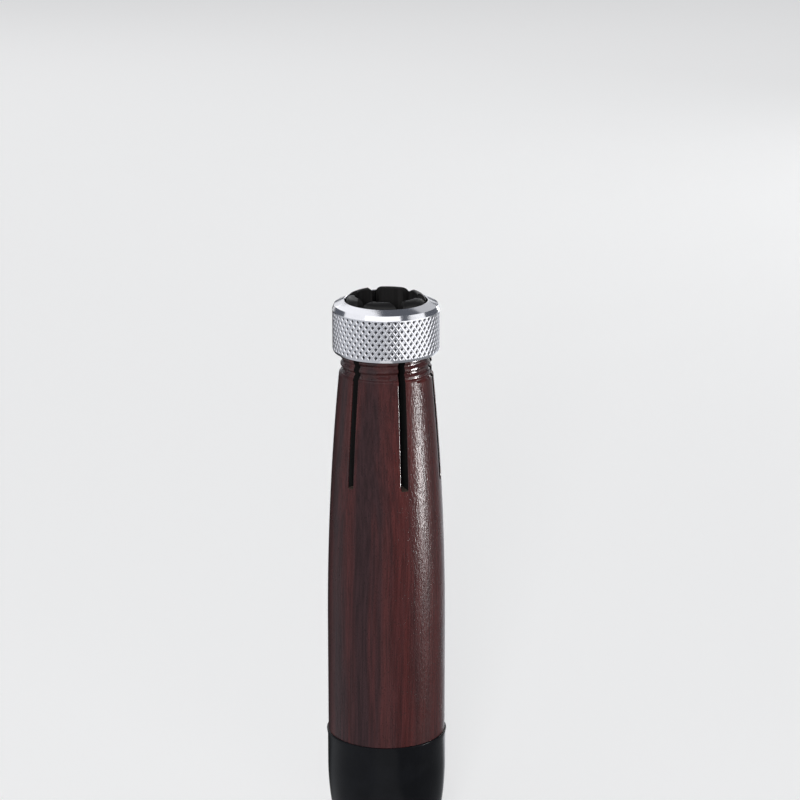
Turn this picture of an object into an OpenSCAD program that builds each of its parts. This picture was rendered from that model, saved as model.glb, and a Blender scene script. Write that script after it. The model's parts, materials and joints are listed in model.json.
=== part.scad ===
// Crayon holder: a turned wooden barrel that ends in a slotted collet, a
// knurled screw collar that closes the collet, and a cap over the butt.
// Millimetres. The axis is +Z, the mouth is up, and z = 0 is under the cap.

/* [Barrel] */
// Length from the cap's foot to the finger tips
overall_length = 127; // [105:0.5:155]
// Diameter of the straight part of the barrel
barrel_d = 25.4; // [21:0.1:31]
// Length of the straight part above the cap
straight_length = 24; // [10:0.5:30]
// Radial step from the end of the long taper in to the neck
shoulder_step = 0.35; // [0.2:0.05:0.8]
// Height of the small slope across that step
shoulder_rise = 0.8; // [0.2:0.1:1]

/* [Crayon bore] */
// Diameter of the bore
bore_d = 13.2; // [10:0.1:16]
// Wood left under the bore's straight wall
bore_floor = 25; // [10:0.5:40]
// Angle of the drill point at the foot of the bore
drill_angle = 118; // [90:1:140]
// Width of the drill's chisel edge
drill_web = 1; // [0.5:0.1:2]

/* [Neck and collet fingers] */
// Length of the neck, from the shoulder to the finger tips
neck_length = 17; // [15:0.5:22]
// Wall of the neck over the crests of its thread
neck_wall = 3.05; // [2.4:0.05:3.6]
// Wall of the fingers where they pass the collar's mouth
tip_wall = 1.8; // [1.6:0.05:2.2]
// Radius that rounds the finger tips over
tip_round = 1.5; // [0.4:0.1:1.6]
// Radius of the corners that the slots leave on the finger tips
tip_corner = 1.3; // [0.4:0.1:2]
// Number of saw slots, which is also the number of fingers
slot_count = 6; // [3:1:8]
// Width of a saw slot
slot_w = 1.5; // [0.8:0.1:1.8]
// Depth of the slots below the finger tips
slot_length = 40; // [30:0.5:55]
// Angle of the first slot about the axis
slot_angle = -10; // [-30:1:30]

/* [Collar] */
// Height of the collar
collar_h = 10.9; // [9:0.1:13]
// Wall of the collar over its thread
collar_wall = 1.55; // [1.2:0.05:3]
// Height of the fingers above the collar's rim
tip_proud = 1.1; // [0.6:0.1:2]
// Fall of the rim's cone from the mouth to the outer edge
rim_fall = 0.9; // [0.3:0.1:1.2]
// Height of the plain band above the knurl
plain_band = 1.2; // [0.8:0.1:2]
// Height of the straight land at the foot of the plain band
band_land = 0.3; // [0.2:0.1:0.6]
// How far the plain band leans in from its land to the rim
band_lean = 0.4; // [0.1:0.05:0.8]
// Height of the bevel on the lower edge
foot_bevel = 0.6; // [0.3:0.1:1]
// How far that bevel leans in
foot_lean = 0.25; // [0.1:0.05:0.5]
// Height of the straight land inside the mouth
mouth_land = 1.5; // [0.8:0.1:2]
// Height of the cone that presses the fingers in
seat_h = 3; // [2:0.1:4]

/* [Knurl] */
// Diamond pits around the collar
knurl_count = 51; // [24:1:64]
// Half diamonds from the foot of the knurl to its top
knurl_rows = 9; // [5:1:12]
// Depth of the pits below the ridges
knurl_depth = 0.4; // [0.2:0.02:0.6]
// How far the ridges lie below the plain bands
ridge_inset = 0.05; // [0.02:0.01:0.1]

/* [End cap] */
// Height of the cap
cap_h = 29.6; // [24:0.1:36]
// How far the cap's skirt stands out from the barrel
skirt_proud = 0.15; // [0.05:0.05:0.5]
// Height of the straight skirt
skirt_h = 7.6; // [4:0.1:12]
// Radius of the long curve below the skirt
ogive_r = 69; // [55:1:100]
// Radius of the rounded foot
foot_round = 5; // [2:0.1:6]
// How far the lip stands out from the skirt
lip_proud = 0.2; // [0.1:0.05:0.6]
// Height of the flare that carries the lip
lip_h = 1.4; // [0.8:0.1:2.2]
// Radius of the lip's upper edge
lip_round = 0.25; // [0.1:0.05:0.4]
// Wall of the cap
cap_wall = 1.4; // [0.8:0.1:2]
// Thickness of the cap's floor
cap_floor = 2; // [1:0.1:4]

/* [Fits] */
// Radial gap between the neck and the collar
thread_gap = 0.15; // [0.05:0.05:0.2]
// Radial gap between the fingers and the collar's mouth
mouth_gap = 0.35; // [0.15:0.05:0.5]
// Gap between the fingers' cone and the collar's, along the axis
seat_gap = 0.5; // [0.3:0.1:0.8]
// Gap between the butt and the cap's wall
cap_gap = 0.1; // [0.05:0.05:0.3]

/* [Hidden] */

$fn = 96;
LONG_ARC = 3600;  // segments of a circle that only lends a short, slow arc
MORE = 1;         // overshoot of a cutter past the face that it opens
CROSS = 0.02;     // by how much two curves cross, where a bare touch has no clean edge

// Radii from the bore outwards
bore_r = bore_d / 2;
tip_r = bore_r + tip_wall;
mouth_r = tip_r + mouth_gap;
neck_r = bore_r + neck_wall;
shoulder_r = neck_r + shoulder_step;
thread_r = neck_r + thread_gap;
collar_r = thread_r + collar_wall;
barrel_r = barrel_d / 2;
cap_r = barrel_r + skirt_proud;

// The long taper is one arc, upright where it leaves the straight part
straight_top = cap_h + straight_length;
shoulder_z = overall_length - neck_length;
taper_rise = shoulder_z - straight_top;
taper_inset = barrel_r - shoulder_r;
taper_r = (taper_rise^2 + taper_inset^2) / (2 * taper_inset);
neck_foot = shoulder_z + shoulder_rise;
shoulder_slope = shoulder_rise / shoulder_step;

// The collar sits below the finger tips, and its cone faces theirs
rim_z = overall_length - tip_proud;
collar_z = rim_z - collar_h;
seat_top = rim_z - mouth_land;
seat_foot = seat_top - seat_h;
finger_cone_foot = seat_foot - seat_gap;
finger_cone_top = seat_top - seat_gap;
tip_round_z = overall_length - tip_round;

// The knurl is let into the collar between the plain band and the foot
knurl_foot = collar_z + foot_bevel;
knurl_top = rim_z - rim_fall - plain_band;
ridge_r = collar_r - ridge_inset;
pit_r = ridge_r - knurl_depth;
core_r = (thread_r + pit_r) / 2;
knurl_sink = 0.05;  // depth of the knurl's ends inside the plain bands

// The long curve of the cap leaves the skirt upright and ends in the rounded foot
ogive_x = cap_r - ogive_r;
ogive_z = cap_h - skirt_h;
reach_r = ogive_r - foot_round + CROSS;
round_x = ogive_x + sqrt(reach_r^2 - (ogive_z - foot_round)^2);
round_top = ogive_z - (ogive_z - foot_round) * ogive_r / reach_r;
lip_x = cap_r + lip_proud - lip_round;
lip_z = cap_h - lip_round;

// A ring's half section from r0 to r1 and z0 to z1
module block(r0, r1, z0, z1) {
    translate([r0, z0]) square([r1 - r0, z1 - z0]);
}

// Outline of the cap, moved in by inset, from foot to top
module cap_outline(inset, foot, top) {
    intersection() {
        block(0, cap_r - inset, foot, top);
        union() {
            translate([ogive_x, ogive_z]) circle(r = ogive_r - inset, $fn = LONG_ARC);
            block(0, cap_r - inset, ogive_z, top + MORE);
        }
    }
}

module barrel_section() {
    cap_outline(cap_wall + cap_gap, cap_floor, cap_h);
    block(0, barrel_r, cap_h, straight_top);
    intersection() {
        translate([barrel_r - taper_r, straight_top]) circle(r = taper_r, $fn = LONG_ARC);
        polygon([
            [0, straight_top],
            [barrel_r, straight_top],
            [barrel_r, neck_foot - (barrel_r - neck_r) * shoulder_slope],
            [neck_r, neck_foot],
            [0, neck_foot],
        ]);
    }
    polygon([
        [0, straight_top],
        [neck_r, straight_top],
        [neck_r, finger_cone_foot],
        [tip_r, finger_cone_top],
        [tip_r, tip_round_z],
        [0, tip_round_z],
    ]);
    translate([tip_r - tip_round, tip_round_z]) circle(r = tip_round);
    block(0, tip_r - tip_round, tip_round_z, overall_length);
}

module crayon_bore() {
    web_r = drill_web / 2;
    point_h = (bore_r - web_r) / tan(drill_angle / 2);
    foot = cap_floor + bore_floor;
    translate([0, 0, foot]) cylinder(r = bore_r, h = overall_length - foot + MORE);
    translate([0, 0, foot - point_h]) cylinder(r1 = web_r, r2 = bore_r, h = point_h);
}

// A saw slot from the axis out along +X, with the corners that it rounds
module saw_slot() {
    half_w = slot_w / 2;
    corner = [half_w + tip_corner - CROSS, overall_length - tip_corner + CROSS];
    rotate([90, 0, 90]) linear_extrude(barrel_r) {
        translate([-half_w, overall_length - slot_length]) square([slot_w, slot_length + MORE]);
        difference() {
            translate([-corner.x, corner.y]) square([2 * corner.x, tip_corner + MORE]);
            for (side = [-1, 1]) translate([side * corner.x, corner.y]) circle(r = tip_corner);
        }
    }
}

module barrel() {
    color("#4a241d") difference() {
        rotate_extrude() barrel_section();
        crayon_bore();
        for (i = [0 : slot_count - 1]) rotate(slot_angle + i * 360 / slot_count) saw_slot();
    }
}

// Half section of the collar without its knurl
module collar_section() {
    polygon([
        [thread_r, collar_z],
        [collar_r - foot_lean, collar_z],
        [collar_r, knurl_foot],
        [core_r, knurl_foot],
        [core_r, knurl_top],
        [collar_r, knurl_top],
        [collar_r, knurl_top + band_land],
        [collar_r - band_lean, rim_z - rim_fall],
        [mouth_r, rim_z],
        [mouth_r, seat_top],
        [thread_r, seat_foot],
    ]);
}

// A sleeve with crossing ridges around four-sided pits, and a plain inner wall
module knurl_sleeve() {
    columns = 2 * knurl_count;
    z0 = knurl_foot - knurl_sink;
    z1 = knurl_top + knurl_sink;
    inner_r = (thread_r + core_r) / 2;
    function is_pit(row, column) =
        row > 0 && row < knurl_rows && (row + column) % 2 == 0;
    function ring(r_of, z) = [
        for (column = [0 : columns - 1])
            let (angle = column * 360 / columns, r = r_of(column))
                [r * cos(angle), r * sin(angle), z]
    ];
    outer = [
        for (row = [0 : knurl_rows])
            each ring(
                function (column) is_pit(row, column) ? pit_r : ridge_r,
                z0 + (z1 - z0) * row / knurl_rows
            )
    ];
    inner = concat(ring(function (column) inner_r, z0), ring(function (column) inner_r, z1));
    inner_foot = len(outer);
    inner_top = inner_foot + columns;
    top_row = knurl_rows * columns;
    // The outer wall is split along the ridges, so that each pit has four flat sides
    outer_faces = [
        for (row = [0 : knurl_rows - 1], column = [0 : columns - 1])
            let (
                next = (column + 1) % columns,
                a = row * columns + column,
                b = row * columns + next,
                c = b + columns,
                d = a + columns,
                rising = (row + column) % 2 == 1
            )
                each rising ? [[c, b, a], [d, c, a]] : [[d, b, a], [d, c, b]]
    ];
    wall_faces = [
        for (column = [0 : columns - 1])
            let (
                next = (column + 1) % columns,
                p = inner_foot + column,
                q = inner_foot + next,
                s = inner_top + column,
                t = inner_top + next,
                e = top_row + column,
                f = top_row + next
            )
                each [
                    [p, q, t], [p, t, s],
                    [column, next, q], [column, q, p],
                    [s, t, f], [s, f, e],
                ]
    ];
    polyhedron(points = concat(outer, inner), faces = concat(outer_faces, wall_faces));
}

module collar() {
    color("#c9cacb") union() {
        rotate_extrude() collar_section();
        knurl_sleeve();
    }
}

module end_cap_section() {
    difference() {
        cap_outline(0, 0, lip_z);
        difference() {
            block(round_x, cap_r, -MORE, round_top);
            translate([round_x, foot_round]) circle(r = foot_round);
        }
    }
    polygon([
        [0, cap_h - lip_h],
        [cap_r, cap_h - lip_h],
        [cap_r + lip_proud - CROSS, lip_z],
        [0, lip_z],
    ]);
    translate([lip_x, lip_z]) circle(r = lip_round);
    block(0, lip_x, ogive_z, cap_h);
}

module end_cap() {
    color("#1c1a1e") difference() {
        rotate_extrude() end_cap_section();
        rotate_extrude() cap_outline(cap_wall, cap_floor, cap_h + MORE);
    }
}

barrel();
collar();
end_cap();
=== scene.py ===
"""Crayon holder: a stained wooden barrel that ends in a slotted collet, a
knurled aluminium collar that screws over the collet, and a black cap.

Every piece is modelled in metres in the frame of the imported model: the axis is
+Z, the mouth is up, z = 0 is under the cap and the viewer stands at -Y.
"""

import json
import math

import bmesh
import bpy
from bpy.props import FloatProperty, FloatVectorProperty, IntProperty, PointerProperty
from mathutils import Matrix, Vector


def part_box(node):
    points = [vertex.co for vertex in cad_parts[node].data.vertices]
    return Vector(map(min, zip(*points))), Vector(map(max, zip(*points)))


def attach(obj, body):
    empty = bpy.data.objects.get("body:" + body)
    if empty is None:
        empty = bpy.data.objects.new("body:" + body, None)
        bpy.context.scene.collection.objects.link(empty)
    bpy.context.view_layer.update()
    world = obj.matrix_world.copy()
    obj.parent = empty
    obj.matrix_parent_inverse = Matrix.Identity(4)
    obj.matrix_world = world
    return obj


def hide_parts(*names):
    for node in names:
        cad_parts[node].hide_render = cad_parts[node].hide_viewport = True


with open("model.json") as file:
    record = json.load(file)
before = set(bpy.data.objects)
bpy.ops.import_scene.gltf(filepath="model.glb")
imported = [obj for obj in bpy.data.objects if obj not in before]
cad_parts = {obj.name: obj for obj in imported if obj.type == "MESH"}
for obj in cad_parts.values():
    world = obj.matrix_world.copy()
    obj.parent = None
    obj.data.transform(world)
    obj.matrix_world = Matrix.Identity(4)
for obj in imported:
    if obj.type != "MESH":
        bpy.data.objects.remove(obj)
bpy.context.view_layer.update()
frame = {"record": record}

bl_info = {
    "name": "Crayon Holder",
    "version": (1, 0, 0),
    "blender": (4, 5, 0),
    "location": "3D View > Sidebar > Crayon Holder",
    "description": "Models a wooden crayon holder with a knurled screw collar",
    "category": "Add Mesh",
}

MM = 0.001
FULL_TURN = 2 * math.pi
LATHE_STEPS = 256  # facets round a turned piece
THREAD_STEPS = 128  # facets of a thread in one turn
SMOOTH_ANGLE = math.radians(32)  # edges that turn less are shaded smooth
STRAIGHT_ANGLE = math.radians(3)  # two edges that turn less count as one
MERGE = 0.001 * MM  # points nearer than this become one
SLIVER = 0.002 * MM  # faces narrower than this are removed
KNURL_SINK = 0.05 * MM  # how far the knurl goes into the collar below it
KNURL_RUN = 0.1 * MM  # how far it goes into the band above it
VALUE = "NodeSocketFloat"
VECTOR = "NodeSocketVector"
STAINED, SHADED_SAWN, VARNISHED = range(3)  # material slots of the barrel
BLACK_STAIN = (0.006, 0.004, 0.004, 1)  # in open pores and under thick varnish

BARREL_LOW, BARREL_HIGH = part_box("barrel")
COLLAR_LOW, COLLAR_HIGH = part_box("collar")
CAP_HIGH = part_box("end_cap")[1]
MOUNTS = {mount["name"]: mount for mount in frame["record"]["mounts"]}
BORE = MOUNTS["crayon_bore"]
BORE_FOOT = BORE["pos_m"][2] - BORE["dims"]["length_mm"] * MM / 2


# Sizes and colours that a user would change


def number(name, description, default, **kind):
    """A property that holds a plain number."""
    return FloatProperty(name=name, description=description, default=default, **kind)


def length(name, description, default):
    """A property that holds a length in metres."""
    return number(name, description, default, min=0, precision=5, unit="LENGTH")


def colour(name, description, default):
    """A property that holds a linear colour."""
    kind = {"min": 0, "max": 1, "size": 3, "subtype": "COLOR"}
    return FloatVectorProperty(name=name, description=description, default=default, **kind)


def angle(name, description, degrees):
    """A property that holds an angle."""
    return number(name, description, math.radians(degrees), subtype="ANGLE", unit="ROTATION")


class BarrelSettings(bpy.types.PropertyGroup):
    """Sizes of the wooden barrel."""

    radius: length("Radius", "Radius of the straight part", BARREL_HIGH[0])
    foot: length("Foot", "Height of the butt's foot inside the cap", BARREL_LOW[2])
    top: length("Top", "Height of the finger tips", BARREL_HIGH[2])
    bore_radius: length("Bore radius", "Radius of the crayon bore", BORE["dims"]["r_mm"] * MM)
    bore_foot: length("Bore foot", "Height of the foot of the bore's wall", BORE_FOOT)
    drill_angle: angle("Drill angle", "Angle of the drill point", 118)
    butt_radius: length("Butt radius", "Radius of the butt in the cap", 11.35 * MM)
    straight_top: length("Straight top", "Height where the long taper begins", 53.6 * MM)
    shoulder: length("Shoulder", "Height of the shoulder under the neck", 110 * MM)
    shoulder_radius: length("Shoulder radius", "Radius of the taper at the shoulder", 10 * MM)
    neck_radius: length("Neck radius", "Radius over the crests of the thread", 9.65 * MM)
    cone_foot: length("Cone foot", "Height where the fingers start to slope in", 120.9 * MM)
    cone_top: length("Cone top", "Height where that slope ends", 123.9 * MM)
    tip_radius: length("Tip radius", "Radius over the finger tips", 8.4 * MM)
    tip_round: length("Tip round", "Radius that rounds the tips over", 1.5 * MM)
    tip_corner: length("Tip corner", "Radius of the tips' corners", 1.3 * MM)
    thread_pitch: length("Thread pitch", "Rise of the thread in one turn", 1.74 * MM)
    thread_depth: length("Thread depth", "Depth of the thread's groove", 0.5 * MM)
    thread_width: length("Thread width", "Width of the thread's groove", 1.4 * MM)
    thread_start: length("Thread start", "Height where the thread starts", 110.2 * MM)
    thread_angle: angle("Thread angle", "Angle from +X where the thread starts", -50)
    slot_count: IntProperty(name="Slots", description="Number of saw slots", default=6, min=2)
    slot_width: length("Slot width", "Width of a saw slot", 1.5 * MM)
    slot_foot: length("Slot foot", "Height of the foot of the slots", 87 * MM)
    slot_angle: angle("Slot angle", "Angle of the first slot from +X", -10)
    slot_edge: length("Slot edge", "Width of the worn edge of a slot", 0.32 * MM)
    slot_crisp_edge: length("Crisp slot edge", "Width of the less worn edge", 0.12 * MM)


class CollarSettings(bpy.types.PropertyGroup):
    """Sizes of the knurled collar."""

    radius: length("Radius", "Radius of the plain band", COLLAR_HIGH[0])
    foot: length("Foot", "Height of the lower edge", COLLAR_LOW[2])
    top: length("Top", "Height of the rim at the mouth", COLLAR_HIGH[2])
    mouth_radius: length("Mouth radius", "Radius of the mouth", 8.75 * MM)
    bore_radius: length("Bore radius", "Radius over the crests of the inner thread", 9.8 * MM)
    mouth_land: length("Mouth land", "Height of the straight wall in the mouth", 1.5 * MM)
    seat_height: length("Seat height", "Height of the cone that presses the fingers", 3 * MM)
    rim_fall: length("Rim fall", "Fall of the rim from the mouth outwards", 0.9 * MM)
    plain_band: length("Plain band", "Height of the plain band over the knurl", 1.2 * MM)
    band_land: length("Band land", "Height of the straight land under the band", 0.2 * MM)
    band_lean: length("Band lean", "How far the band leans in up to the rim", 0.4 * MM)
    foot_bevel: length("Foot bevel", "Height of the bevel on the lower edge", 0.6 * MM)
    foot_lean: length("Foot lean", "How far that bevel leans in", 0.25 * MM)
    edge_round: length("Edge round", "Radius that breaks the sharp edges", 0.15 * MM)
    knurl_count: IntProperty(name="Diamonds", description="Pits around", default=51, min=12)
    knurl_rise: length("Diamond height", "Height of one diamond", 1.844 * MM)
    knurl_depth: length("Pit depth", "Depth of the pits below the ridges", 0.4 * MM)
    ridge_width: length("Ridge width", "Width of the ridges between the pits", 0.28 * MM)
    pit_slope: length("Pit slope", "Width of the slope into a pit", 0.25 * MM)
    ridge_inset: length("Ridge inset", "Depth of the ridges below the band", 0.03 * MM)


class CapSettings(bpy.types.PropertyGroup):
    """Sizes of the moulded cap."""

    lip_radius: length("Lip radius", "Radius over the lip", CAP_HIGH[0])
    height: length("Height", "Height of the cap", CAP_HIGH[2])
    skirt_radius: length("Skirt radius", "Radius of the straight skirt", 12.85 * MM)
    skirt_foot: length("Skirt foot", "Height where the long curve begins", 22 * MM)
    ogive_radius: length("Curve radius", "Radius of the long curve", 69 * MM)
    foot_round: length("Foot round", "Radius of the rounded foot", 5 * MM)
    lip_height: length("Lip height", "Height of the flare that carries the lip", 1.4 * MM)
    lip_round: length("Lip round", "Radius of the lip's upper edge", 0.22 * MM)
    wall: length("Wall", "Thickness of the wall", 1.4 * MM)
    floor: length("Floor", "Thickness of the floor", 2 * MM)


class FinishSettings(bpy.types.PropertyGroup):
    """Colours of the finishes."""

    stain_dark: colour("Dark stain", "Stain between the streaks", (0.035, 0.0160, 0.0180))
    stain_red: colour("Red stain", "Stain in the redder streaks", (0.100, 0.0225, 0.0205))
    # The sawn wood's near-black is painted shade of the deep slots and bore.
    shaded_sawn_wood: colour("Sawn wood", "Stained wood in slots and bore", (0.014, 0.0135, 0.0135))
    bare_wood: colour("Bare wood", "Wood that the saw left bare", (0.10, 0.075, 0.062))
    metal: colour("Metal", "Machined aluminium", (0.74, 0.74, 0.775))
    # The colour that the pits of the knurl darken to with depth.
    pit_dark: colour("Grime", "Dark dirt in the pits of the knurl", (0.014, 0.014, 0.017))
    plastic: colour("Plastic", "Black moulded plastic", (0.0065, 0.0070, 0.0085))
    floor: colour("Floor", "Floor under the lamps", (0.42, 0.42, 0.42))


class StageSettings(bpy.types.PropertyGroup):
    """Place of the camera and size of the floor."""

    lens: number("Lens", "Focal length on a 36 mm sensor", 133.65, unit="CAMERA")
    distance: length("Distance", "Distance from the camera to its aim", 630 * MM)
    elevation: angle("Elevation", "Height of the camera over the horizon", 16.2)
    aim_height: length("Aim height", "Height of the camera's aim", 103.9 * MM)
    aim_side: length("Aim side", "Offset of the aim to the right", 2.94 * MM)
    floor_size: length("Floor size", "Side of the square floor", 14)
    floor_glow: number("Floor glow", "White that the floor adds to its light", 0.58, min=0, max=1)
    sky_light: number("Sky light", "Strength of the soft light from all round", 0.15, min=0)


class HolderSettings(bpy.types.PropertyGroup):
    """All the settings of the holder."""

    barrel: PointerProperty(type=BarrelSettings)
    collar: PointerProperty(type=CollarSettings)
    cap: PointerProperty(type=CapSettings)
    finish: PointerProperty(type=FinishSettings)
    stage: PointerProperty(type=StageSettings)


# Modelling helpers


def deselect_all():
    """Leaves nothing selected, so that an operator acts on the next piece only."""
    if bpy.context.mode != "OBJECT":
        leave_edit()
    bpy.ops.object.select_all(action="DESELECT")


def make_active(piece):
    """Selects one piece and makes it the active one."""
    deselect_all()
    piece.select_set(True)
    bpy.context.view_layer.objects.active = piece


def pick(kind, action="DESELECT"):
    """Chooses points, edges or faces in edit mode, and selects none or all of them."""
    bpy.ops.mesh.select_mode(type=kind)
    bpy.ops.mesh.select_all(action=action)


def edit(piece, kind="VERT"):
    """Opens a piece in edit mode with nothing selected and returns its bmesh."""
    make_active(piece)
    bpy.ops.object.mode_set(mode="EDIT")
    pick(kind)
    return bmesh.from_edit_mesh(piece.data)


def leave_edit():
    """Goes back to object mode."""
    bpy.ops.object.mode_set(mode="OBJECT")


def grow_from_axis(factor):
    """Scales what is selected outwards from the axis."""
    bpy.ops.transform.resize(value=(factor, factor, 1), center_override=(0, 0, 0))


def named(name):
    """Names the active object and its mesh, and returns it."""
    piece = bpy.context.active_object
    piece.name = name
    piece.data.name = name
    return piece


def arc(centre, radius, start, end, steps):
    """Points of an arc in the (radius, height) plane, angles in degrees."""
    points = []
    for step in range(steps + 1):
        turn = math.radians(start + (end - start) * step / steps)
        points.append((centre[0] + radius * math.cos(turn), centre[1] + radius * math.sin(turn)))
    return points


def draw_outline(name, outline):
    """Draws a chain of edges through (radius, height) points in the XZ plane."""
    deselect_all()
    bpy.ops.mesh.primitive_plane_add(size=MM)
    piece = named(name)
    bpy.ops.object.mode_set(mode="EDIT")
    pick("VERT", "SELECT")
    bpy.ops.mesh.merge(type="CENTER")
    bpy.ops.transform.translate(value=(outline[0][0], 0, outline[0][1]))
    for (r0, z0), (r1, z1) in zip(outline, outline[1:]):
        move = {"value": (r1 - r0, 0, z1 - z0)}
        bpy.ops.mesh.extrude_vertices_move(TRANSFORM_OT_translate=move)
    return piece


def close_mesh():
    """Merges doubles and turns the faces of the mesh in edit mode outwards."""
    bpy.ops.mesh.select_all(action="SELECT")
    bpy.ops.mesh.remove_doubles(threshold=MERGE)
    bpy.ops.mesh.normals_make_consistent(inside=False)


def turn_on_lathe(name, outline):
    """Spins an outline about the axis into a closed piece."""
    piece = draw_outline(name, outline)
    bpy.ops.mesh.select_all(action="SELECT")
    bpy.ops.mesh.spin(steps=LATHE_STEPS, angle=FULL_TURN, center=(0, 0, 0), axis=(0, 0, 1))
    close_mesh()
    leave_edit()
    return piece


def apply_boolean(piece, tool, operation):
    """Cuts a piece with a tool, or joins the two, and removes the tool."""
    make_active(piece)
    cut = piece.modifiers.new(operation.title(), "BOOLEAN")
    cut.operation = operation
    cut.solver = "EXACT"
    cut.object = tool
    cut.material_mode = "TRANSFER"
    bpy.ops.object.modifier_apply(modifier=cut.name)
    bpy.data.objects.remove(tool)


def thread_cutter(name, outline, pitch, turns):
    """A closed helical cutter whose section is an outline of (radius, height)."""
    tool = draw_outline(name, outline + outline[:1])
    close_mesh()
    leave_edit()
    screw = tool.modifiers.new("Helix", "SCREW")
    screw.axis = "Z"
    screw.angle = FULL_TURN
    screw.screw_offset = pitch
    screw.iterations = turns
    screw.steps = THREAD_STEPS
    bpy.ops.object.modifier_apply(modifier=screw.name)
    edit(tool)
    bpy.ops.mesh.select_non_manifold()
    bpy.ops.mesh.fill_holes(sides=0)
    close_mesh()
    leave_edit()
    return tool


def fade_thread(tool, pitch, reach, steps=10, share=0.3):
    """Lifts the first part of a helical cutter's first turn out of the wood, step by step."""
    slack = 1e-4
    for step in range(steps):
        mesh = edit(tool)
        for vert in mesh.verts:
            turn = math.atan2(vert.co.y, vert.co.x) / FULL_TURN % 1.0
            turn += round(vert.co.z / pitch - turn)
            if step <= turn / share * steps + slack < step + 1:
                vert.select = True
        bpy.ops.mesh.select_mode(type="VERT")
        grow_from_axis(1 + reach * (1 - step / steps))
        leave_edit()


def place_tool(tool, angle, height):
    """Turns a cutter about the axis, lifts it, and applies both."""
    make_active(tool)
    tool.rotation_euler.z = angle
    tool.location.z = height
    bpy.ops.object.transform_apply(location=True, rotation=True, scale=False)


def clear_slivers(piece):
    """Removes the faces with no width, and the points on straight edges, that cuts leave."""
    edit(piece)
    bpy.ops.mesh.select_all(action="SELECT")
    bpy.ops.mesh.dissolve_degenerate(threshold=SLIVER)
    leave_edit()
    mesh = edit(piece)
    for vert in mesh.verts:
        if len(vert.link_edges) == 2:
            first, second = (line.other_vert(vert).co - vert.co for line in vert.link_edges)
            vert.select = first.angle(-second) < STRAIGHT_ANGLE
    bpy.ops.mesh.dissolve_verts()
    leave_edit()


def finish_piece(piece, node, body, smooth=SMOOTH_ANGLE):
    """Cleans and shades a piece, puts it on its body and lets it stand for its CAD node."""
    clear_slivers(piece)
    make_active(piece)
    bpy.ops.object.shade_smooth_by_angle(angle=smooth)
    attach(piece, body)
    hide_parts(node)


# Material helpers


def new_material(name):
    """A material with an empty tree, its Principled BSDF and its output."""
    material = bpy.data.materials.new(name)
    material.use_nodes = True
    tree = material.node_tree
    tree.nodes.clear()
    shader = tree.nodes.new("ShaderNodeBsdfPrincipled")
    output = tree.nodes.new("ShaderNodeOutputMaterial")
    tree.links.new(shader.outputs["BSDF"], output.inputs["Surface"])
    return material, tree, shader


def feed(tree, node, sockets):
    """Links values to the input sockets of a node, or sets them there."""
    for socket, value in sockets.items():
        if isinstance(value, bpy.types.NodeSocket):
            tree.links.new(value, node.inputs[socket])
        else:
            node.inputs[socket].default_value = value


def put(tree, kind, sockets=None, **settings):
    """Adds a node, sets its fields and feeds its input sockets."""
    item = tree.nodes.new("ShaderNode" + kind)
    for field, value in settings.items():
        setattr(item, field, value)
    feed(tree, item, sockets or {})
    return item


def maths(tree, operation, first, second=0.0, clamp=False):
    """A Math node's value."""
    item = put(tree, "Math", {0: first, 1: second}, operation=operation, use_clamp=clamp)
    return item.outputs[0]


def times(tree, first, second):
    """The product of two values."""
    return maths(tree, "MULTIPLY", first, second)


def scaled(tree, value, factor, start, clamp=False):
    """A value times a factor, added to a start."""
    return maths(tree, "ADD", times(tree, value, factor), start, clamp)


def between(tree, value, low, high, out_low=0.0, out_high=1.0):
    """A value carried from one range to another with a smooth step, and clamped."""
    limits = {"From Min": low, "From Max": high, "To Min": out_low, "To Max": out_high}
    sockets = {"Value": value, **limits}
    return put(tree, "MapRange", sockets, interpolation_type="SMOOTHSTEP").outputs["Result"]


def blend_colour(tree, factor, first, second, mode="MIX"):
    """Two colours mixed by a factor; inputs 6 and 7 and output 2 are the node's colours."""
    sockets = {0: factor, 6: first, 7: second}
    return put(tree, "Mix", sockets, data_type="RGBA", blend_type=mode).outputs[2]


def rgba(values):
    """A colour with full alpha."""
    return (*values, 1.0)


def stretched(tree, vector, scale):
    """Coordinates scaled by a different amount along each axis."""
    item = put(tree, "VectorMath", {0: vector, 1: scale}, operation="MULTIPLY")
    return item.outputs["Vector"]


def noise(tree, vector, scale=1.0, detail=2.0, roughness=0.5):
    """A noise value."""
    sockets = {"Vector": vector, "Scale": scale, "Detail": detail, "Roughness": roughness}
    return put(tree, "TexNoise", sockets).outputs["Fac"]


def new_group(name, inputs, outputs):
    """A node group with named sockets, its inputs and its output node."""
    tree = bpy.data.node_groups.new(name, "ShaderNodeTree")
    for socket, kind, default in inputs:
        made = tree.interface.new_socket(name=socket, in_out="INPUT", socket_type=kind)
        if default is not None:
            made.default_value = default
    for socket, kind in outputs:
        tree.interface.new_socket(name=socket, in_out="OUTPUT", socket_type=kind)
    given = tree.nodes.new("NodeGroupInput")
    return tree, given.outputs, tree.nodes.new("NodeGroupOutput")


def use_group(tree, name, sockets):
    """Places a node group in a material and returns its outputs."""
    return put(tree, "Group", sockets, node_tree=bpy.data.node_groups[name]).outputs


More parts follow.
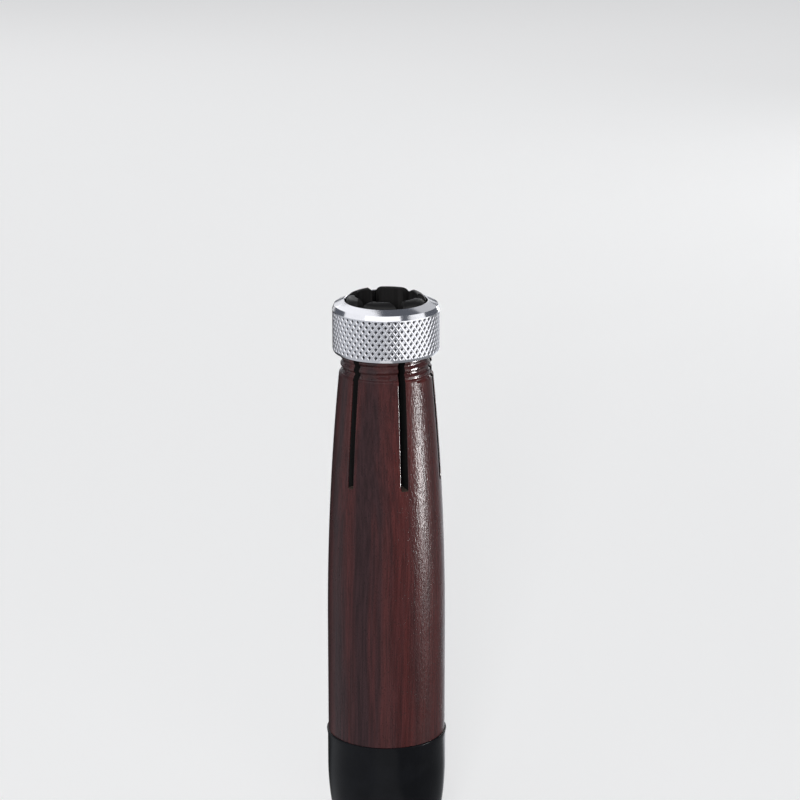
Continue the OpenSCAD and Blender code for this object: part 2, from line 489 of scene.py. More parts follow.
def build_wood_grain():
    """Streaks, fine fibres, open pores and a fine relief that run along the axis."""
    if "Wood Grain" in bpy.data.node_groups:
        return
    tree, given, result = new_group(
        "Wood Grain",
        [("Vector", VECTOR, None), ("Streak Scale", VALUE, 190.0), ("Pore Scale", VALUE, 3600.0)],
        [("Streaks", VALUE), ("Fibres", VALUE), ("Pores", VALUE), ("Relief", VALUE)],
    )
    place = given["Vector"]
    sway = noise(tree, stretched(tree, place, (30, 30, 18)), detail=1.0)
    sway = put(tree, "CombineXYZ", {0: sway, 1: sway}).outputs[0]
    sway = stretched(tree, sway, (0.004, 0.003, 0))
    swayed = put(tree, "VectorMath", {0: place, 1: sway}, operation="ADD").outputs["Vector"]

    def along_grain(shrink, scale, detail, roughness):
        return noise(tree, stretched(tree, swayed, (1, 1, shrink)), scale, detail, roughness)

    broad = along_grain(0.035, given["Streak Scale"], detail=4.0, roughness=0.6)
    fibres = along_grain(0.04, 2200.0, detail=3.0, roughness=0.6)
    long_cells = stretched(tree, swayed, (1, 1, 0.38))
    cells = put(tree, "TexVoronoi", {"Vector": long_cells, "Scale": given["Pore Scale"]})
    chance = put(tree, "SeparateColor", {"Color": cells.outputs["Color"]}).outputs["Red"]
    here = maths(tree, "GREATER_THAN", chance, 0.66)
    spot = between(tree, cells.outputs["Distance"], 0.10, 0.34, 1.0, 0.0)
    relief = along_grain(0.36, 2500.0, detail=1.0, roughness=0.5)
    streaks = between(tree, broad, 0.40, 0.66)
    pores = times(tree, spot, here)
    outputs = {"Streaks": streaks, "Fibres": fibres, "Pores": pores, "Relief": relief}
    feed(tree, result, outputs)


def build_fine_wear():
    """Cloudy handling marks and fine scuffs."""
    if "Fine Wear" in bpy.data.node_groups:
        return
    tree, given, result = new_group(
        "Fine Wear",
        [("Vector", VECTOR, None), ("Scale", VALUE, 220.0)],
        [("Clouds", VALUE), ("Grit", VALUE)],
    )
    clouds = noise(tree, given["Vector"], given["Scale"], detail=4.0, roughness=0.6)
    clouds = between(tree, clouds, 0.35, 0.70)
    fine = times(tree, given["Scale"], 18.0)
    grit = noise(tree, given["Vector"], fine, detail=2.0, roughness=0.6)
    feed(tree, result, {"Clouds": clouds, "Grit": grit})


def object_place(tree):
    """Object coordinates, and their parts along the three axes."""
    place = put(tree, "TexCoord").outputs["Object"]
    return place, put(tree, "SeparateXYZ", {0: place}).outputs


def bump(tree, shader, height, distance, strength):
    """Raises the surface by a height in the shader's normal."""
    item = put(tree, "Bump", {"Height": height, "Distance": distance, "Strength": strength})
    tree.links.new(item.outputs["Normal"], shader.inputs["Normal"])


def stained_wood(finish):
    """Dark red-brown stained hardwood under a thin satin varnish."""
    build_wood_grain()
    build_fine_wear()
    material, tree, shader = new_material("Stained Wood")
    place, (across, _, height) = object_place(tree)
    grain = use_group(tree, "Wood Grain", {"Vector": place})
    wear = use_group(tree, "Fine Wear", {"Vector": place, "Scale": 160.0})
    # Painted light: more red stain towards +X, the side that the right-hand lamps light, so that
    # side looks warmer and brighter.
    painted_lit_side = between(tree, across, -2 * MM, 6 * MM, out_high=0.42)
    red = scaled(tree, grain["Streaks"], 0.62, painted_lit_side, clamp=True)
    stain = blend_colour(tree, red, rgba(finish.stain_dark), rgba(finish.stain_red))
    shade = between(tree, grain["Fibres"], 0.3, 0.7, 0.70, 1.25)
    shade = put(tree, "CombineColor", {0: shade, 1: shade, 2: shade}).outputs[0]
    stain = blend_colour(tree, 1.0, stain, shade, "MULTIPLY")
    pores = times(tree, grain["Pores"], 0.75)
    stain = blend_colour(tree, pores, stain, BLACK_STAIN)
    # The wood darkens up the finger tips to the same near-black as the slots and bore.
    tip_foot, tip_top = 120.5 * MM, 123.5 * MM
    tip = between(tree, height, tip_foot, tip_top)
    stain = blend_colour(tree, tip, stain, rgba(finish.shaded_sawn_wood))
    rough = scaled(tree, wear["Clouds"], 0.05, 0.27)
    rough = scaled(tree, grain["Pores"], 0.3, rough)
    feed(tree, shader, {"Base Color": stain, "Roughness": rough, "Specular IOR Level": 0.2})
    relief = scaled(tree, grain["Pores"], -0.3, grain["Relief"])
    bump(tree, shader, relief, distance=0.06 * MM, strength=1.0)
    return material


def shaded_sawn_wood(finish):
    """Sawn wood with saw marks, painted near-black as the shade in the deep slots and bore, and
    left bare on the floor of the slots.
    """
    build_wood_grain()
    material, tree, shader = new_material("Sawn Wood")
    place, (_, _, height) = object_place(tree)
    grain = use_group(tree, "Wood Grain", {"Vector": place, "Streak Scale": 700.0})
    light = rgba([channel * 1.5 for channel in finish.shaded_sawn_wood])
    wood = blend_colour(tree, grain["Streaks"], rgba(finish.shaded_sawn_wood), light)
    slot_foot = bpy.context.scene.crayon_holder.barrel.slot_foot
    in_slot = between(tree, height, slot_foot - 0.2 * MM, slot_foot - 0.1 * MM)
    bare = between(tree, height, slot_foot + 0.02 * MM, slot_foot + 0.2 * MM, 1.0, 0.0)
    bare = times(tree, bare, in_slot)
    wood = blend_colour(tree, bare, wood, rgba(finish.bare_wood))
    feed(tree, shader, {"Base Color": wood, "Roughness": 0.6, "Specular IOR Level": 0.04})
    saw_marks = noise(tree, stretched(tree, place, (200, 200, 4200)))
    bump(tree, shader, saw_marks, distance=0.05 * MM, strength=0.5)
    return material


def slot_varnish(finish):
    """Varnish that gathered in beads along the edges of the slots and on the thread."""
    build_wood_grain()
    material, tree, shader = new_material("Slot Varnish")
    place, _ = object_place(tree)
    grain = use_group(tree, "Wood Grain", {"Vector": place})
    stain = blend_colour(tree, grain["Streaks"], rgba(finish.stain_dark), rgba(finish.stain_red))
    stain = blend_colour(tree, 0.3, stain, BLACK_STAIN)
    beads = noise(tree, stretched(tree, place, (300, 300, 900)), roughness=0.6)
    rough = between(tree, beads, 0.40, 0.66, 0.13, 0.55)
    feed(tree, shader, {"Base Color": stain, "Roughness": rough})
    bump(tree, shader, grain["Relief"], distance=0.04 * MM, strength=1.0)
    return material


def machined_aluminium(finish):
    """Bright turned aluminium that turns darker the deeper it lies in the pits of the knurl."""
    build_fine_wear()
    material, tree, shader = new_material("Machined Aluminium")
    place, (along_x, along_y, height) = object_place(tree)
    flat = put(tree, "CombineXYZ", {0: along_x, 1: along_y}).outputs[0]
    reach = put(tree, "VectorMath", {0: flat}, operation="LENGTH").outputs["Value"]
    wear = use_group(tree, "Fine Wear", {"Vector": place, "Scale": 300.0})
    size = bpy.context.scene.crayon_holder.collar
    foot, top = knurl_ends(size)
    over_foot = between(tree, height, foot - KNURL_SINK, foot + KNURL_SINK)
    under_top = between(tree, height, top, top + KNURL_RUN, 1.0, 0.0)
    outside = between(tree, reach, size.bore_radius + 0.6 * MM, size.bore_radius + 0.8 * MM)
    knurl = times(tree, outside, times(tree, over_foot, under_top))
    # The metal darkens, in patches, the deeper it lies in a pit.
    ridge = size.radius - size.ridge_inset
    deep, shallow = ridge - 0.75 * size.knurl_depth, ridge - 0.10 * MM
    pit_darkening = times(tree, between(tree, reach, deep, shallow, 1.0, 0.0), knurl)
    patchy = between(tree, wear["Grit"], 0.2, 0.5, 0.9, 1.0)
    pit_darkening = times(tree, pit_darkening, patchy)
    metal = blend_colour(tree, pit_darkening, rgba(finish.metal), rgba(finish.pit_dark))
    rough = scaled(tree, wear["Clouds"], 0.05, 0.12)
    rough = scaled(tree, knurl, -0.05, rough)
    rough = scaled(tree, pit_darkening, 0.35, rough)
    feed(tree, shader, {"Base Color": metal, "Metallic": 1.0, "Roughness": rough})
    lines = put(tree, "CombineXYZ", {0: reach, 1: 0.0, 2: height}).outputs[0]
    turning = noise(tree, stretched(tree, lines, (9000, 1, 9000)))
    plain = maths(tree, "SUBTRACT", 1.0, knurl)
    turning = times(tree, turning, plain)
    bump(tree, shader, turning, distance=0.012 * MM, strength=0.5)
    return material


def black_plastic(finish):
    """Smooth black moulded plastic with light scuffs."""
    build_fine_wear()
    material, tree, shader = new_material("Black Plastic")
    place, _ = object_place(tree)
    wear = use_group(tree, "Fine Wear", {"Vector": place, "Scale": 180.0})
    worn = rgba([channel * 1.3 for channel in finish.plastic])
    tone = blend_colour(tree, wear["Clouds"], rgba(finish.plastic), worn)
    rough = scaled(tree, wear["Clouds"], 0.06, 0.18)
    feed(tree, shader, {"Base Color": tone, "Roughness": rough, "Specular IOR Level": 0.10})
    bump(tree, shader, wear["Grit"], distance=0.01 * MM, strength=0.3)
    return material


# Barrel


def barrel_outline(size):
    """Half section of the barrel, from the foot of the bore round to the butt."""
    bore = size.bore_radius
    web = 0.5 * MM
    point = (bore - web) / math.tan(size.drill_angle / 2)
    mouth_edge = 0.3 * MM
    bore_top = size.top - mouth_edge
    bore_steps = 8
    outline = [(0, size.bore_foot - point), (web, size.bore_foot - point)]
    for step in range(bore_steps):
        outline.append((bore, size.bore_foot + (bore_top - size.bore_foot) * step / bore_steps))
    outline += arc((bore + mouth_edge, bore_top), mouth_edge, 180, 90, 5)
    round_centre = (size.tip_radius - size.tip_round, size.top - size.tip_round)
    outline += arc(round_centre, size.tip_round, 90, 0, 12)[1:]
    outline += [(size.tip_radius, size.cone_top), (size.neck_radius, size.cone_foot)]
    taper = taper_curve(size)
    shoulder_round = 0.9 * MM
    step_in = taper[0][0] - size.neck_radius
    turn = math.degrees(math.acos(1 - step_in / shoulder_round))
    round_centre = (taper[0][0] - shoulder_round, taper[0][1])
    outline += arc(round_centre, shoulder_round, turn, 0, 6)[:-1]
    outline += taper
    cap_top = CAP_HIGH[2]
    fall = cap_top - size.straight_top
    straight_steps = 6
    for step in range(1, straight_steps + 1):
        outline.append((size.radius, size.straight_top + fall * step / straight_steps))
    return outline + butt_outline(size, cap_top)


def taper_curve(size):
    """The long taper, one arc from the shoulder down to the straight part."""
    rise = size.shoulder - size.straight_top
    inset = size.radius - size.shoulder_radius
    radius = (rise**2 + inset**2) / (2 * inset)
    end = math.degrees(math.asin(rise / radius))
    return arc((size.radius - radius, size.straight_top), radius, end, 0, 36)


def butt_outline(size, cap_top):
    """The butt follows the inside of the cap with a small gap."""
    cap = bpy.context.scene.crayon_holder.cap
    inset = cap.skirt_radius - size.butt_radius
    centre = (cap.skirt_radius - cap.ogive_radius, cap.skirt_foot)
    radius = cap.ogive_radius - inset
    end = -math.degrees(math.asin((cap.skirt_foot - size.foot) / radius))
    return [(size.butt_radius, cap_top)] + arc(centre, radius, 0, end, 16) + [(0, size.foot)]


def groove_outline(crest, depth, width):
    """Section of a thread's groove with a rounded root, open outwards of the crest.

    A negative depth gives the groove of an inner thread, open inwards.
    """
    past_crest = crest + math.copysign(0.35 * MM, depth)
    half = width / 2
    shape = ((0.0, 1.0), (0.36, 0.66), (0.70, 0.36), (0.93, 0.14))  # shares of depth and width
    upper = [(crest - depth * deep, half * wide) for deep, wide in shape]
    lower = [(radius, -height) for radius, height in reversed(upper)]
    return [(past_crest, half)] + upper + lower + [(past_crest, -half)]


def cut_neck_thread(barrel, size):
    """Cuts the collar's thread into the neck, from its run-out at the shoulder up."""
    outline = groove_outline(size.neck_radius, size.thread_depth, size.thread_width)
    turns = math.ceil((size.cone_top - size.thread_start) / size.thread_pitch)
    tool = thread_cutter("thread_cutter", outline, size.thread_pitch, turns)
    fade_thread(tool, size.thread_pitch, size.thread_depth / size.neck_radius)
    place_tool(tool, size.thread_angle + FULL_TURN / LATHE_STEPS / 2, size.thread_start)
    apply_boolean(barrel, tool, "DIFFERENCE")


def slot_outline(size):
    """Front view of a slot, with the round corners that it leaves on the tips."""
    half = size.slot_width / 2
    over = 2 * MM
    centre = (half + size.tip_corner, size.top - size.tip_corner)
    right = [(half, size.slot_foot)] + arc(centre, size.tip_corner, 180, 92, 8)
    right.append((half + size.tip_corner, size.top + over))
    left = [(-across, height) for across, height in reversed(right)]
    return right + left


def cut_slots(barrel, size, wood):
    """Saws the slots that part the fingers."""
    inner = 0.62 * size.bore_radius
    outer = size.radius + 2 * MM
    outline = slot_outline(size)
    for index in range(size.slot_count):
        tool = draw_outline("slot_cutter", outline + outline[:1])
        close_mesh()
        bpy.ops.mesh.edge_face_add()
        bpy.ops.transform.translate(value=(0, inner, 0))
        move = {"value": (0, outer - inner, 0)}
        bpy.ops.mesh.extrude_region_move(TRANSFORM_OT_translate=move)
        close_mesh()
        leave_edit()
        tool.data.materials.append(wood)
        turn = size.slot_angle + FULL_TURN * index / size.slot_count
        place_tool(tool, turn - math.pi / 2, 0)
        apply_boolean(barrel, tool, "DIFFERENCE")


def slot_offset(point, size):
    """How far to the left or right of the nearest slot's middle a point lies."""
    step = FULL_TURN / size.slot_count
    turn = math.atan2(point.y, point.x) - size.slot_angle
    off_centre = (turn + step / 2) % step - step / 2
    return math.hypot(point.x, point.y) * math.sin(off_centre)


def select_uprights(mesh, size, foot, wanted):
    """Selects upright edges of the taper between a height and the shoulder."""
    shortest = 0.2 * MM
    for line in mesh.edges:
        ends = [vert.co for vert in line.verts]
        low, high = sorted(end.z for end in ends)
        outside = min(math.hypot(end.x, end.y) for end in ends) > size.shoulder_radius - MERGE
        upright = high - low > shortest and low > foot and high < size.shoulder + MERGE
        if outside and upright and len(line.link_faces) == 2 and wanted(line):
            line.select = True


def is_saw_edge(line):
    """Whether an edge parts the sawn wood from the outside of the barrel."""
    first, second = (face.material_index for face in line.link_faces)
    return first != second


def wear_slot_edges(barrel, size):
    """Rounds the edges that the saw left along the taper, one side more than the other.

    Edges of the lathe that lie too close to a slot are dissolved first, to make room.
    """
    near = size.slot_width / 2 + 1.7 * size.slot_edge
    cleared_foot = size.slot_foot - 2 * MM
    steps = 6

    def crowding(line):
        furthest = max(abs(slot_offset(vert.co, size)) for vert in line.verts)
        return furthest < near and not is_saw_edge(line)

    def edge_on(side):
        return lambda line: is_saw_edge(line) and side * slot_offset(line.verts[0].co, size) > 0

    mesh = edit(barrel, "EDGE")
    select_uprights(mesh, size, cleared_foot, crowding)
    bpy.ops.mesh.dissolve_edges(use_verts=True)
    leave_edit()
    for side, width in ((-1, size.slot_edge), (1, size.slot_crisp_edge)):
        mesh = edit(barrel, "EDGE")
        select_uprights(mesh, size, size.slot_foot - MERGE, edge_on(side))
        bpy.ops.mesh.bevel(offset=width, segments=steps, affect="EDGES", material=VARNISHED)
        leave_edit()


def paint_faces(barrel, slot, reaches, heights):
    """Gives a material slot to the stained faces within two ranges."""
    mesh = edit(barrel, "FACE")
    for face in mesh.faces:
        centre = face.calc_center_median()
        reach = math.hypot(centre.x, centre.y)
        inside = reaches[0] <= reach < reaches[1] and heights[0] < centre.z < heights[1]
        if inside and face.material_index == STAINED:
            face.select = True
    barrel.active_material_index = slot
    bpy.ops.object.material_slot_assign()
    leave_edit()


def varnish_neck(barrel, size):
    """Gives the thread below the collar the varnish that gathered there."""
    root = size.neck_radius - 1.5 * size.thread_depth
    foot = size.shoulder + 0.7 * MM
    paint_faces(barrel, VARNISHED, (root, size.radius), (foot, size.cone_foot))


def paint_bore(barrel, size):
    """Gives the wall of the bore the sawn wood, whose near-black colour is painted shade."""
    wall = size.bore_radius + 0.02 * MM
    paint_faces(barrel, SHADED_SAWN, (0, wall), (size.foot + MM, size.top - MM))


class HOLDER_OT_barrel(bpy.types.Operator):
    """Turns the wooden barrel, saws its fingers and threads its neck"""

    bl_idname = "crayon_holder.barrel"
    bl_label = "Turn Barrel"

    def execute(self, context):
        settings = context.scene.crayon_holder
        size = settings.barrel
        barrel = turn_on_lathe("wooden_barrel", barrel_outline(size))
        wood = shaded_sawn_wood(settings.finish)
        for material in (stained_wood(settings.finish), wood, slot_varnish(settings.finish)):
            barrel.data.materials.append(material)
        paint_bore(barrel, size)
        cut_slots(barrel, size, wood)
        cut_neck_thread(barrel, size)
        wear_slot_edges(barrel, size)
        varnish_neck(barrel, size)
        finish_piece(barrel, "barrel", "barrel")
        return {"FINISHED"}


# Collar


def collar_outline(size):
    """Half section of the collar, with a groove that the knurl is let into."""
    edge = size.edge_round
    knurl_foot, knurl_top = knurl_ends(size)
    under_pits = 0.25 * MM
    groove = size.radius - size.ridge_inset - size.knurl_depth - under_pits
    rim_outer = (size.radius - size.band_lean, size.top - size.rim_fall)
    seat_top = size.top - size.mouth_land
    seat_foot = seat_top - size.seat_height
    lead = 0.3 * MM
    lean = size.foot_lean
    outline = [
        (size.bore_radius + lead, size.foot),
        (size.radius - lean - 0.5 * edge, size.foot),
        (size.radius - lean - 0.1 * edge, size.foot + 0.15 * edge),
        (size.radius - 0.8 * lean, size.foot + 0.2 * size.foot_bevel),
        (size.radius, knurl_foot),
        (groove, knurl_foot),
        (groove, knurl_top),
        (size.radius, knurl_top),
        (size.radius, knurl_top + size.band_land),
        rim_outer,
    ]
    outline += arc((size.mouth_radius + edge, size.top - edge), edge, 66, 180, 10)
    outline += [
        (size.mouth_radius, seat_top),
        (size.bore_radius, seat_foot),
        (size.bore_radius, size.foot + lead),
    ]
    return outline + outline[:1]


def knurl_ends(size):
    """Heights of the lower and the upper end of the knurl."""
    return size.foot + size.foot_bevel, size.top - size.rim_fall - size.plain_band


def ends_of(line):
    """The numbers of an edge's two points, the lower one first."""
    return tuple(sorted(vert.index for vert in line.verts))


def make_knurl(size):
    """A sleeve of diamond pits between crossing ridges, closed on the inside."""
    radius = size.radius - size.ridge_inset
    knurl_foot, knurl_top = knurl_ends(size)
    foot = knurl_foot - KNURL_SINK
    top = knurl_top + KNURL_RUN
    rows = math.ceil((top - foot) / size.knurl_rise) + 2
    deselect_all()
    bpy.ops.mesh.primitive_cylinder_add(
        vertices=size.knurl_count,
        radius=radius,
        depth=rows * size.knurl_rise,
        end_fill_type="NOTHING",
        location=(0, 0, (foot + top) / 2),
    )
    sleeve = named("knurl_sleeve")
    bpy.ops.object.transform_apply(location=True, rotation=False, scale=False)
    mesh = edit(sleeve, "EDGE")
    for line in mesh.edges:
        if abs(line.verts[0].co.z - line.verts[1].co.z) > MM:
            line.select = True
    bpy.ops.mesh.subdivide(number_cuts=rows - 1)
    mesh = bmesh.from_edit_mesh(sleeve.data)
    straight = {ends_of(line) for line in mesh.edges if not line.is_boundary}
    pick("FACE", "SELECT")
    bpy.ops.mesh.poke()
    push_centres_out(sleeve, radius)
    pick("EDGE")
    mesh = bmesh.from_edit_mesh(sleeve.data)
    for line in mesh.edges:
        if ends_of(line) in straight:
            line.select = True
    bpy.ops.mesh.dissolve_edges(use_verts=False)
    pick("FACE", "SELECT")
    press_pits(size)
    trim_knurl(foot, top)
    line_knurl(size)
    leave_edit()
    return sleeve


def press_pits(size):
    """Insets the selected diamonds in steps, so that round ridges stay between the pits."""
    crown = 0.16 * size.ridge_width
    flank = 0.21 * size.ridge_width
    bpy.ops.mesh.inset(thickness=crown, depth=0, use_individual=True)
    deep = 0
    for lean in (9, 19, 29, 39):
        fall = flank * math.tan(math.radians(lean))
        bpy.ops.mesh.inset(thickness=flank, depth=-fall, use_individual=True)
        deep += fall
    rest = deep - size.knurl_depth
    bpy.ops.mesh.inset(thickness=size.pit_slope, depth=rest, use_individual=True)


def push_centres_out(sleeve, radius):
    """Moves the poked centres from their chords out to the knurl's radius."""
    mesh = bmesh.from_edit_mesh(sleeve.data)
    pick("VERT")
    nearly_out = radius * 0.9995
    inner = radius
    for vert in mesh.verts:
        reach = math.hypot(vert.co.x, vert.co.y)
        if reach < nearly_out:
            vert.select = True
            inner = reach
    grow_from_axis(radius / inner)


def trim_knurl(foot, top):
    """Cuts the sleeve to its height."""
    for level, above in ((foot, False), (top, True)):
        bpy.ops.mesh.select_all(action="SELECT")
        bpy.ops.mesh.bisect(
            plane_co=(0, 0, level),
            plane_no=(0, 0, 1),
            clear_inner=not above,
            clear_outer=above,
            threshold=0.01 * MERGE,
        )


def line_knurl(size):
    """Closes the sleeve with an inner wall inside the collar's own."""
    lining = size.bore_radius + 0.45 * MM
    pick("EDGE")
    bpy.ops.mesh.select_non_manifold()
    bpy.ops.mesh.extrude_edges_move()
    grow_from_axis(lining / size.radius)
    bpy.ops.mesh.bridge_edge_loops()
    close_mesh()


def cut_collar_thread(collar, size, neck):
    """Cuts the thread inside the collar, which the neck's thread would run in."""
    outline = groove_outline(size.bore_radius, -0.8 * neck.thread_depth, neck.thread_width)
    seat_foot = size.top - size.mouth_land - size.seat_height
    turns = math.floor((seat_foot - size.foot) / neck.thread_pitch)
    tool = thread_cutter("inner_thread_cutter", outline, neck.thread_pitch, turns)
    place_tool(tool, FULL_TURN / LATHE_STEPS / 2, size.foot - 0.2 * MM)
    apply_boolean(collar, tool, "DIFFERENCE")


class HOLDER_OT_collar(bpy.types.Operator):
    """Turns the aluminium collar, knurls it and cuts its thread"""

    bl_idname = "crayon_holder.collar"
    bl_label = "Knurl Collar"

    def execute(self, context):
        settings = context.scene.crayon_holder
        size = settings.collar
        collar = turn_on_lathe("knurled_collar", collar_outline(size))
        metal = machined_aluminium(settings.finish)
        collar.data.materials.append(metal)
        sleeve = make_knurl(size)
        sleeve.data.materials.append(metal)
        apply_boolean(collar, sleeve, "UNION")
        cut_collar_thread(collar, size, settings.barrel)
        finish_piece(collar, "collar", "collar", SMOOTH_ANGLE / 2)
        return {"FINISHED"}


# End cap


def cap_outline(size):
    """Half section of the cap, from the foot out over the lip and down inside."""
    centre = (size.skirt_radius - size.ogive_radius, size.skirt_foot)
    reach = size.ogive_radius - size.foot_round
    drop = size.skirt_foot - size.foot_round
    round_x = centre[0] + math.sqrt(reach**2 - drop**2)
    meet = -math.degrees(math.asin(drop / reach))
    lip_centre = (size.lip_radius - size.lip_round, size.height - size.lip_round)
    inner = size.skirt_radius - size.wall
    inner_curve = size.ogive_radius - size.wall
    inner_end = -math.degrees(math.asin((size.skirt_foot - size.floor) / inner_curve))
    outline = [(0, 0)]
    outline += arc((round_x, size.foot_round), size.foot_round, -90, meet, 20)
    outline += arc(centre, size.ogive_radius, meet, 0, 28)[1:]
    outline += [(size.skirt_radius, size.height - size.lip_height)]
    outline += arc(lip_centre, size.lip_round, 0, 90, 8)
    outline += [(inner, size.height)]
    outline += arc(centre, inner_curve, 0, inner_end, 20)
    return outline + [(0, size.floor)]


class HOLDER_OT_cap(bpy.types.Operator):
    """Moulds the black cap"""

    bl_idname = "crayon_holder.cap"
    bl_label = "Mould Cap"

    def execute(self, context):
        settings = context.scene.crayon_holder
        cap = turn_on_lathe("black_cap", cap_outline(settings.cap))
        cap.data.materials.append(black_plastic(settings.finish))
        finish_piece(cap, "end_cap", "barrel")
        return {"FINISHED"}


# Stage


def seen_directly(tree):
    """One for rays from the camera, a mirror or glass, and zero for the rest."""
    path = put(tree, "LightPath").outputs
    seen = maths(tree, "ADD", path["Is Camera Ray"], path["Is Glossy Ray"])
    return maths(tree, "ADD", seen, path["Is Transmission Ray"], clamp=True)


def add_glow(tree, shader, base, light, strength):
    """Makes a matt surface that gives light."""
    sockets = {"Base Color": base, "Emission Color": light, "Emission Strength": strength}
    feed(tree, shader, {"Roughness": 0.9, "Specular IOR Level": 0.0, **sockets})


def make_floor(settings):
    """A large pale floor under the holder, which keeps its shadow."""
    deselect_all()
    bpy.ops.mesh.primitive_plane_add(size=settings.stage.floor_size)
    floor = named("floor")
    material, tree, shader = new_material("Pale Floor")
    glow = times(tree, seen_directly(tree), settings.stage.floor_glow)
    add_glow(tree, shader, rgba(settings.finish.floor), (1, 1, 1, 1), glow)
    floor.data.materials.append(material)


def lay_card(name, side, front, back):
    """A card on the floor to one side of the holder that only reflections show.

    Front and back each hold a strength of its light and the direction where the
    fade between them begins or ends, as a share: metres behind over metres beside.
    """
    deselect_all()
    bpy.ops.mesh.primitive_plane_add(size=1, location=(0.52 * side, 0.1, MM))
    card = named(name)
    bpy.ops.transform.resize(value=(1.0, 1.6, 1))
    bpy.ops.object.transform_apply(location=True, rotation=False, scale=True)
    material, tree, shader = new_material(name)
    _, (along_x, along_y, _) = object_place(tree)
    direction = maths(tree, "DIVIDE", along_y, times(tree, along_x, side))
    (front_light, begin), (back_light, end) = front, back
    glow = between(tree, direction, begin, end, front_light, back_light)
    add_glow(tree, shader, (0, 0, 0, 1), (0.92, 0.95, 1.0, 1), glow)
    card.data.materials.append(material)
    card.visible_camera = False
    card.visible_diffuse = False
    card.visible_shadow = False


LAMP_AIM = 90 * MM  # height on the axis that the lamps face
# Name, degrees to the viewer's right and up, distance, width and height in metres, watts,
# the rays that don't see the lamp, and the pieces that it is kept to
LAMPS = (
    ("right sheen", 77, -10, 0.3, 0.03, 0.064, 0.76, "diffuse", ("wooden_barrel", "black_cap")),
    ("right collar light", 68, -8, 0.25, 0.38, 0.10, 0.15, "diffuse", ("knurled_collar",)),
    ("front fill", -5, 18, 0.8, 0.12, 0.12, 2.7, "glossy"),
    ("right strip", 150, 12, 0.9, 0.06, 0.50, 1.2),
    ("right low panel", 62, 9, 1.0, 0.87, 0.28, 0.9, "diffuse"),
    ("right panel", 73, 16, 1.0, 0.70, 0.42, 1.0),
    ("front panel", -6.5, 30, 1.3, 1.8, 0.7, 5.4),
    ("left panel", -74, 28, 1.3, 1.3, 0.7, 2.9),
    ("back left panel", -152, 38, 1.2, 0.42, 1.3, 1.8),
    ("back right panel", 161, 32, 1.2, 0.3, 0.6, 0.27),
    ("back strip", -173, 17, 1.2, 0.82, 0.33, 0.7),
)


def make_softbox(
    name, azimuth, elevation, distance, width, height, power, unseen_by=None, pieces=()
):
    """Hangs an area lamp round the holder, turned to the aim of the lamps."""
    deselect_all()
    side = math.radians(azimuth)
    rise = math.radians(elevation)
    out = distance * math.cos(rise)
    up = LAMP_AIM + distance * math.sin(rise)
    place = (out * math.sin(side), -out * math.cos(side), up)
    turn = (math.pi / 2 - rise, 0, side)
    bpy.ops.object.light_add(type="AREA", location=place, rotation=turn)
    lamp = bpy.context.active_object
    lamp.name = name
    lamp.data.shape = "RECTANGLE"
    lamp.data.size = width
    lamp.data.size_y = height
    lamp.data.energy = power
    lamp.visible_camera = False
    lamp.visible_diffuse = unseen_by != "diffuse"
    lamp.visible_glossy = unseen_by != "glossy"
    if pieces:
        keep_light_on(lamp, pieces)


def keep_light_on(lamp, names):
    """Lets the lamp light only the named pieces."""
    deselect_all()
    for name in names:
        bpy.data.objects[name].select_set(True)
    bpy.context.view_layer.objects.active = lamp
    bpy.ops.object.light_linking_receivers_link(link_state="INCLUDE")


def light_world(stage):
    """Soft light from all round."""
    world = bpy.data.worlds.new("Soft Studio")
    bpy.context.scene.world = world
    world.use_nodes = True
    sky = {"Color": (0.80, 0.86, 1.0, 1), "Strength": stage.sky_light}
    feed(world.node_tree, world.node_tree.nodes["Background"], sky)


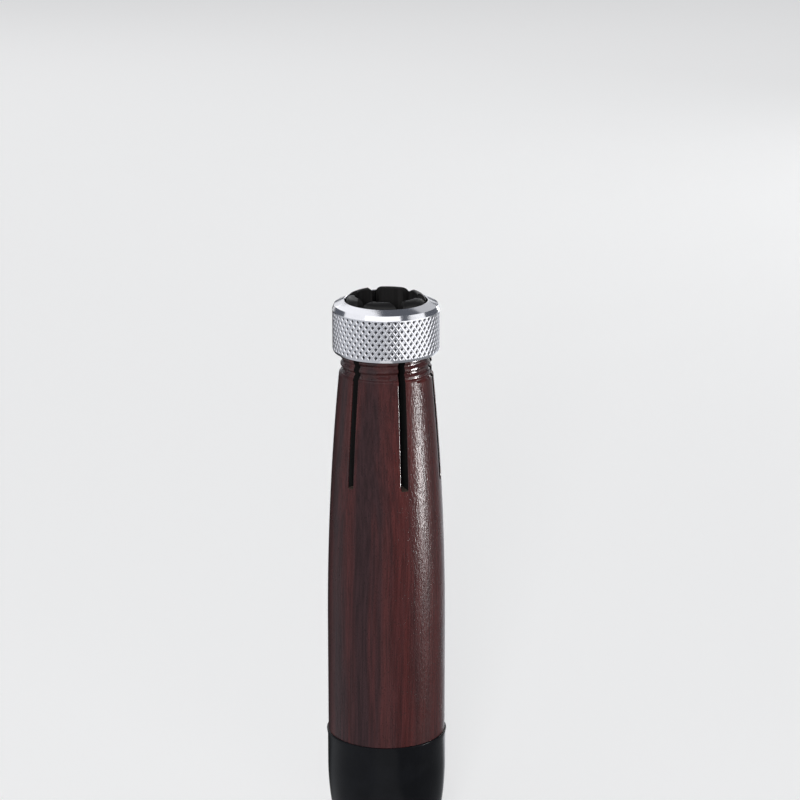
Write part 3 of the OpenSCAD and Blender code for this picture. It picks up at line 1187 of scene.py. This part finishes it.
def place_camera(stage):
    """Adds the camera, which looks level with the Y axis and down by its elevation."""
    deselect_all()
    tilt = stage.elevation
    place = (
        stage.aim_side,
        -stage.distance * math.cos(tilt),
        stage.aim_height + stage.distance * math.sin(tilt),
    )
    bpy.ops.object.camera_add(location=place, rotation=(math.pi / 2 - tilt, 0, 0))
    camera = bpy.context.active_object
    camera.name = "viewer"
    camera.data.sensor_width = 36
    camera.data.lens = stage.lens
    bpy.context.scene.camera = camera


class HOLDER_OT_stage(bpy.types.Operator):
    """Sets up the floor, the lamps and the camera"""

    bl_idname = "crayon_holder.stage"
    bl_label = "Set Stage"

    def execute(self, context):
        settings = context.scene.crayon_holder
        context.scene.view_settings.view_transform = "Standard"
        make_floor(settings)
        lay_card("left_card", -1, (0.64, 0.15), (0.04, 1.2))
        lay_card("right_card", 1, (0.30, 0.9), (1.10, 1.7))
        light_world(settings.stage)
        for box in LAMPS:
            make_softbox(*box)
        place_camera(settings.stage)
        return {"FINISHED"}


class HOLDER_PT_panel(bpy.types.Panel):
    """The holder's sizes, colours and operators"""

    bl_label = "Crayon Holder"
    bl_idname = "HOLDER_PT_panel"
    bl_space_type = "VIEW_3D"
    bl_region_type = "UI"
    bl_category = "Crayon Holder"

    def draw(self, context):
        settings = context.scene.crayon_holder
        for group, operator in (
            (settings.barrel, HOLDER_OT_barrel),
            (settings.collar, HOLDER_OT_collar),
            (settings.cap, HOLDER_OT_cap),
            (settings.finish, None),
            (settings.stage, HOLDER_OT_stage),
        ):
            box = self.layout.box()
            for name in group.__annotations__:
                box.prop(group, name)
            if operator:
                box.operator(operator.bl_idname)


CLASSES = (
    BarrelSettings,
    CollarSettings,
    CapSettings,
    FinishSettings,
    StageSettings,
    HolderSettings,
    HOLDER_OT_barrel,
    HOLDER_OT_collar,
    HOLDER_OT_cap,
    HOLDER_OT_stage,
    HOLDER_PT_panel,
)


def register():
    """Adds the classes and the settings to Blender."""
    for item in CLASSES:
        bpy.utils.register_class(item)
    bpy.types.Scene.crayon_holder = PointerProperty(type=HolderSettings)


def unregister():
    """Takes the classes and the settings out of Blender."""
    del bpy.types.Scene.crayon_holder
    for item in reversed(CLASSES):
        bpy.utils.unregister_class(item)


def main():
    """Makes the holder and its stage."""
    register()
    bpy.ops.crayon_holder.barrel()
    bpy.ops.crayon_holder.collar()
    bpy.ops.crayon_holder.cap()
    bpy.ops.crayon_holder.stage()


if __name__ == "__main__":
    main()
